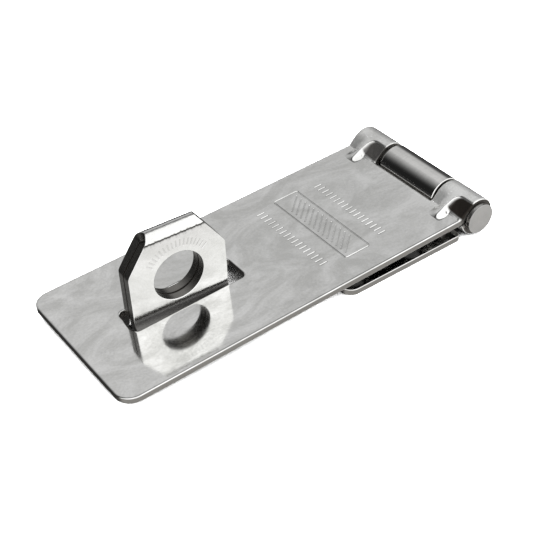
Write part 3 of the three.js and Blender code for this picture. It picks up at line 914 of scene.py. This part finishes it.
hole_s = FOLD_S + FOLD_START - SHACKLE_HOLE_HEIGHT
foot_s = BEND_S - LEG_FACE - FOOT_BEND_RADIUS
strip_edge = rolled_edge(STRIP_THICKNESS, (0.3, 0.2), (0.05, 0.05))
strip_edges = [(strip_outline, strip_edge)]
strip_edges += [
    (round_hole((side * hole_s, 0), SHACKLE_HOLE_RADIUS, 120), strip_edge) for side in (-1, 1)
]
strip_edges += [
    (round_hole((np.sign(y) * (foot_s + abs(y)), x), SCREW_HOLE_RADIUS, 64),
     countersink(STRIP_THICKNESS, COUNTERSINK_RADIUS, SCREW_HOLE_RADIUS, wide_at_face=True))
    for x, y in FOOT_SCREWS
]
strip_grid = in_metal(grid(strip_rows, strip_columns), strip_edges, 0.2)
crease_grid = grid(spread(CREASE_S - 0.5, CREASE_S + 0.5, 0.1), spread(-13, 13, 0.15))
stamp_grid = grid(spread(stamp_hub[0] + 4, CREASE_S - 0.6, 0.13), spread(-10, 10, 0.13))
near_stamp = stroke_distance(*stamp_grid.T, STAPLE_STROKES) < GROOVE_HALF_WIDTH + 0.12
detail = in_metal(np.concatenate([crease_grid, stamp_grid[near_stamp]]), strip_edges, 0.12)
around_detail = clear_of(strip_grid, detail, 0.2)
staple = plate(
    "staple_strip", staple_surface, STRIP_THICKNESS, strip_edges,
    np.concatenate([strip_grid[around_detail], detail]), strip_grid,
    staple_worked, staple_painted_shade,
)
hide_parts("staple")
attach(staple, "leaf_and_staple")

# %% [markdown]
# ## Plated steel
#
# Bright zinc over smooth sheet is almost a mirror. What makes it look real is small: faint clouds of
# duller plating, fine lines along the rolled sheet, tiny pits, and a soft waviness that bends
# reflections. Three values stored on each mesh change the finish. "sheared" is one on the cut walls,
# which are torn rather than rolled and so darker and a little brown. "worked" is one where bending
# stretched the sheet and left it matt. The third is painted shade: it grows in seams, creases and
# pockets, and darkens the colour there.

# %% Helpers for node materials
def add_node(tree, kind, values=None, **settings):
    """A new node with its settings and its input values."""
    node = tree.nodes.new(kind)
    for key, value in settings.items():
        setattr(node, key, value)
    for key, value in (values or {}).items():
        node.inputs[key].default_value = value
    return node


def noise(tree, vector, scale, detail=3.0, roughness=0.55, distortion=0.0):
    """A noise texture's value at the given coordinates."""
    node = add_node(tree, "ShaderNodeTexNoise", {
        "Scale": scale, "Detail": detail, "Roughness": roughness, "Distortion": distortion})
    tree.links.new(vector, node.inputs["Vector"])
    return node.outputs["Fac"]


def remap(tree, value, from_low, from_high, to_low, to_high):
    """A straight-line map from one range to another, held at both ends."""
    node = add_node(tree, "ShaderNodeMapRange", {
        "From Min": from_low, "From Max": from_high, "To Min": to_low, "To Max": to_high})
    tree.links.new(value, node.inputs["Value"])
    return node.outputs["Result"]


def blend_values(tree, factor, a, b, color=False):
    """A mix of a and b, where each is a plain value or a node's output."""
    node = add_node(tree, "ShaderNodeMix", data_type="RGBA" if color else "FLOAT")
    first, second, result = (6, 7, 2) if color else (2, 3, 0)
    for index, value in ((0, factor), (first, a), (second, b)):
        if isinstance(value, bpy.types.NodeSocket):
            tree.links.new(value, node.inputs[index])
        else:
            node.inputs[index].default_value = value
    return node.outputs[result]


def bump(tree, height, strength, distance, under=None):
    """A bump node over an earlier normal."""
    node = add_node(tree, "ShaderNodeBump", {"Strength": strength, "Distance": distance})
    tree.links.new(height, node.inputs["Height"])
    if under is not None:
        tree.links.new(under, node.inputs["Normal"])
    return node.outputs["Normal"]


# %% Plated steel
# The second colour is near black and is laid over the plating as painted shade.
SHEARED_COLOR, PAINTED_SHADE_COLOR = (0.24, 0.232, 0.218, 1), (0.035, 0.03, 0.026, 1)


def attribute(tree, name):
    """The value that the mesh stores under this name."""
    return add_node(tree, "ShaderNodeAttribute", attribute_name=name).outputs["Fac"]


def plated_steel(name, bright, dull, polish, worked_polish, sheared_polish, wave, speckle):
    """Zinc plate: streaky clouds mix two colours and two roughnesses, and three bumps bend it. The
    polishes are roughnesses, and wave and speckle are bump strengths."""
    material = bpy.data.materials.new(name)
    material.use_nodes = True
    tree = material.node_tree
    shader = tree.nodes["Principled BSDF"]
    place = add_node(tree, "ShaderNodeTexCoord").outputs["Object"]
    smear = add_node(tree, "ShaderNodeMapping",
                     {"Scale": (40, 75, 60), "Rotation": (0, 0, np.radians(-24))})
    tree.links.new(place, smear.inputs["Vector"])
    clouds = noise(tree, smear.outputs["Vector"], 1, 6, 0.62, 2.5)
    grain = noise(tree, place, 1500, 3)
    mottle = blend_values(tree, 0.22, clouds, grain)
    worked, sheared, painted_shade = (attribute(tree, key) for key in ("worked", "sheared", "painted_shade"))

    plating = blend_values(tree, remap(tree, mottle, 0.4, 0.62, 0, 1), dull, bright, color=True)
    cut = blend_values(tree, sheared, plating, SHEARED_COLOR, color=True)
    # Painted shade: the third stored value darkens the colour to near black in seams, creases and
    # pockets.
    tree.links.new(blend_values(tree, painted_shade, cut, PAINTED_SHADE_COLOR, color=True),
                   shader.inputs["Base Color"])
    gloss = remap(tree, clouds, 0.35, 0.65, polish[1], polish[0])
    gloss = blend_values(tree, worked, gloss, worked_polish)
    gloss = blend_values(tree, sheared, gloss, sheared_polish)
    tree.links.new(blend_values(tree, painted_shade, gloss, 0.6), shader.inputs["Roughness"])
    tree.links.new(remap(tree, worked, 0, 1, 1, 0.965), shader.inputs["Metallic"])

    waves = bump(tree, noise(tree, place, 60, 1), wave, 0.0004)
    lines = bump(tree, clouds, 0.1, 0.00005, waves)
    pits = bump(tree, grain, speckle, 0.00003, lines)
    tree.links.new(pits, shader.inputs["Normal"])
    return material


finishes = {
    flap: plated_steel(
        "flap_zinc", bright=(0.89, 0.89, 0.88, 1), dull=(0.67, 0.67, 0.655, 1), polish=(0.055, 0.12),
        worked_polish=0.42, sheared_polish=0.38, wave=0.05, speckle=0.04),
    leaf: plated_steel(
        "leaf_zinc", bright=(0.86, 0.855, 0.84, 1), dull=(0.73, 0.725, 0.71, 1), polish=(0.07, 0.14),
        worked_polish=0.4, sheared_polish=0.38, wave=0.06, speckle=0.1),
    staple: plated_steel(
        "staple_zinc", bright=(0.87, 0.87, 0.86, 1), dull=(0.74, 0.74, 0.725, 1), polish=(0.12, 0.2),
        worked_polish=0.4, sheared_polish=0.26, wave=0.05, speckle=0.9),
    pin: plated_steel(
        "pin_zinc", bright=(0.43, 0.425, 0.415, 1), dull=(0.37, 0.365, 0.355, 1), polish=(0.3, 0.38),
        worked_polish=0.12, sheared_polish=0.38, wave=0.04, speckle=0.2),
}
for piece, finish in finishes.items():
    piece.data.materials.append(finish)
print("finishes:", ", ".join(m.name for m in finishes.values()))

# %% [markdown]
# ## Light
#
# Bright metal has no colour of its own: it shows the room. The room here is a soft world of broad
# lobes of brightness, each a smooth step of how far a direction leans towards an axis. It is white on
# the near side, grey overhead, dark towards the free end, and dark low down. Two soft far lamps, one
# on the near side and one on the far side, light only the floor, because the floor is matt and would
# otherwise be as dim as the room. The floor's colour is darkened where metal closes it in, as in the
# slot: painted shade.

# %% Floor and lamps
FLOOR_GAP = 0.00002  # metres below the plates, so that the two faces don't fight
CLOSED_IN, OPEN = 0.14, 0.38  # occlusion readings at which the floor's painted shade is darkest and at which the floor is palest

floor_mesh = bpy.data.meshes.new("floor")
floor_mesh.from_pydata([(-3, -3, 0), (3, -3, 0), (3, 3, 0), (-3, 3, 0)], [], [(0, 1, 2, 3)])
floor = bpy.data.objects.new("floor", floor_mesh)
floor.location.z = -FLOOR_GAP
bpy.context.scene.collection.objects.link(floor)
pale = bpy.data.materials.new("pale_floor_with_painted_shade")
pale.use_nodes = True
# Painted shade: the floor's colour goes from pale to near black as the occlusion reading says metal
# closes it in.
closed_in = add_node(pale.node_tree, "ShaderNodeAmbientOcclusion", {"Distance": 0.012}, samples=8)
openness = remap(pale.node_tree, closed_in.outputs["AO"], CLOSED_IN, OPEN, 0, 1)
floor_painted_shade_color = blend_values(pale.node_tree, openness, (0.01, 0.01, 0.01, 1), (0.9, 0.9, 0.9, 1), True)
pale.node_tree.links.new(floor_painted_shade_color, pale.node_tree.nodes["Principled BSDF"].inputs["Base Color"])
pale.node_tree.nodes["Principled BSDF"].inputs["Roughness"].default_value = 0.9
pale.node_tree.nodes["Principled BSDF"].inputs["Specular IOR Level"].default_value = 0.0
floor_mesh.materials.append(pale)
floor.visible_glossy = False


def soft_lamp(name, azimuth, elevation, strength):
    """A soft far lamp that lights the floor but isn't seen in the metal. Azimuth 0 is the near side."""
    data = bpy.data.lights.new(name, "SUN")
    data.angle = np.radians(30)
    data.energy = strength
    lamp = bpy.data.objects.new(name, data)
    lamp.rotation_euler = (np.radians(90 - elevation), 0, np.radians(azimuth))
    lamp.visible_glossy = False
    bpy.context.scene.collection.objects.link(lamp)


soft_lamp("front_lamp", 0, 26, 16)
soft_lamp("back_lamp", 180, 52, 5)

# %% The room
world = bpy.data.worlds.new("room")
world.use_nodes = True
bpy.context.scene.world = world
room = world.node_tree
direction = add_node(room, "ShaderNodeTexCoord").outputs["Generated"]


def lobe(axis, low, high):
    """How far a direction leans towards the axis, as a smooth step from low to high."""
    lean = add_node(room, "ShaderNodeVectorMath", {1: Vector(axis).normalized()},
                    operation="DOT_PRODUCT")
    room.links.new(direction, lean.inputs[0])
    step = add_node(room, "ShaderNodeMapRange", {"From Min": low, "From Max": high},
                    interpolation_type="SMOOTHSTEP")
    room.links.new(lean.outputs["Value"], step.inputs["Value"])
    return step.outputs["Result"]


def gray(value, warmth=0.0):
    """A grey of that brightness, with red raised and blue lowered by the warmth."""
    return (value * (1 + warmth), value, value * (1 - warmth), 1)


def mixed(factor, under, over):
    """The second shade laid over the first by the factor."""
    return blend_values(room, factor, under, over, color=True)


def both(first, second):
    """The product of two factors."""
    node = add_node(room, "ShaderNodeMath", operation="MULTIPLY")
    room.links.new(first, node.inputs[0])
    room.links.new(second, node.inputs[1])
    return node.outputs[0]


UP, DOWN, NEAR, FAR, FREE_END = (0, 0, 1), (0, 0, -1), (0, -1, 0), (0, 1, 0), (-1, 0, 0)
LOW_HINGE_END, SOFTBOX = (0.78, 0, -0.62), (0.2, 0.62, 0.75)

shade = mixed(lobe(UP, 0.82, 1.0), gray(0.6), gray(0.75))
shade = mixed(lobe(FREE_END, -0.15, 0.72), shade, gray(0.015))
shade = mixed(lobe(FAR, 0.72, 0.98), shade, gray(0.5))
shade = mixed(lobe(LOW_HINGE_END, 0.12, 0.5), shade, gray(0.07))
shade = mixed(lobe(SOFTBOX, 0.965, 0.995), shade, gray(0.66))
overhead_gap = both(both(lobe(NEAR, -0.52, -0.4), lobe(UP, 0.3, 0.6)), lobe(FREE_END, -0.65, -0.5))
gap_shade = mixed(lobe(FREE_END, 0.05, 0.4), gray(0.2), gray(0.02))
shade = mixed(overhead_gap, shade, gap_shade)
shade = mixed(lobe(DOWN, -0.1, 0.15), shade, gray(0.06))
shade = mixed(lobe(NEAR, -0.23, -0.07), shade, gray(1.35))
low_near = both(lobe(DOWN, -0.1, 0.2), lobe(NEAR, -0.1, 0.3))
shade = mixed(low_near, shade, gray(0.95, 0.01))
room.links.new(shade, room.nodes["Background"].inputs["Color"])
bpy.context.scene.view_settings.view_transform = "Standard"
print("room made of", len(room.nodes), "nodes")
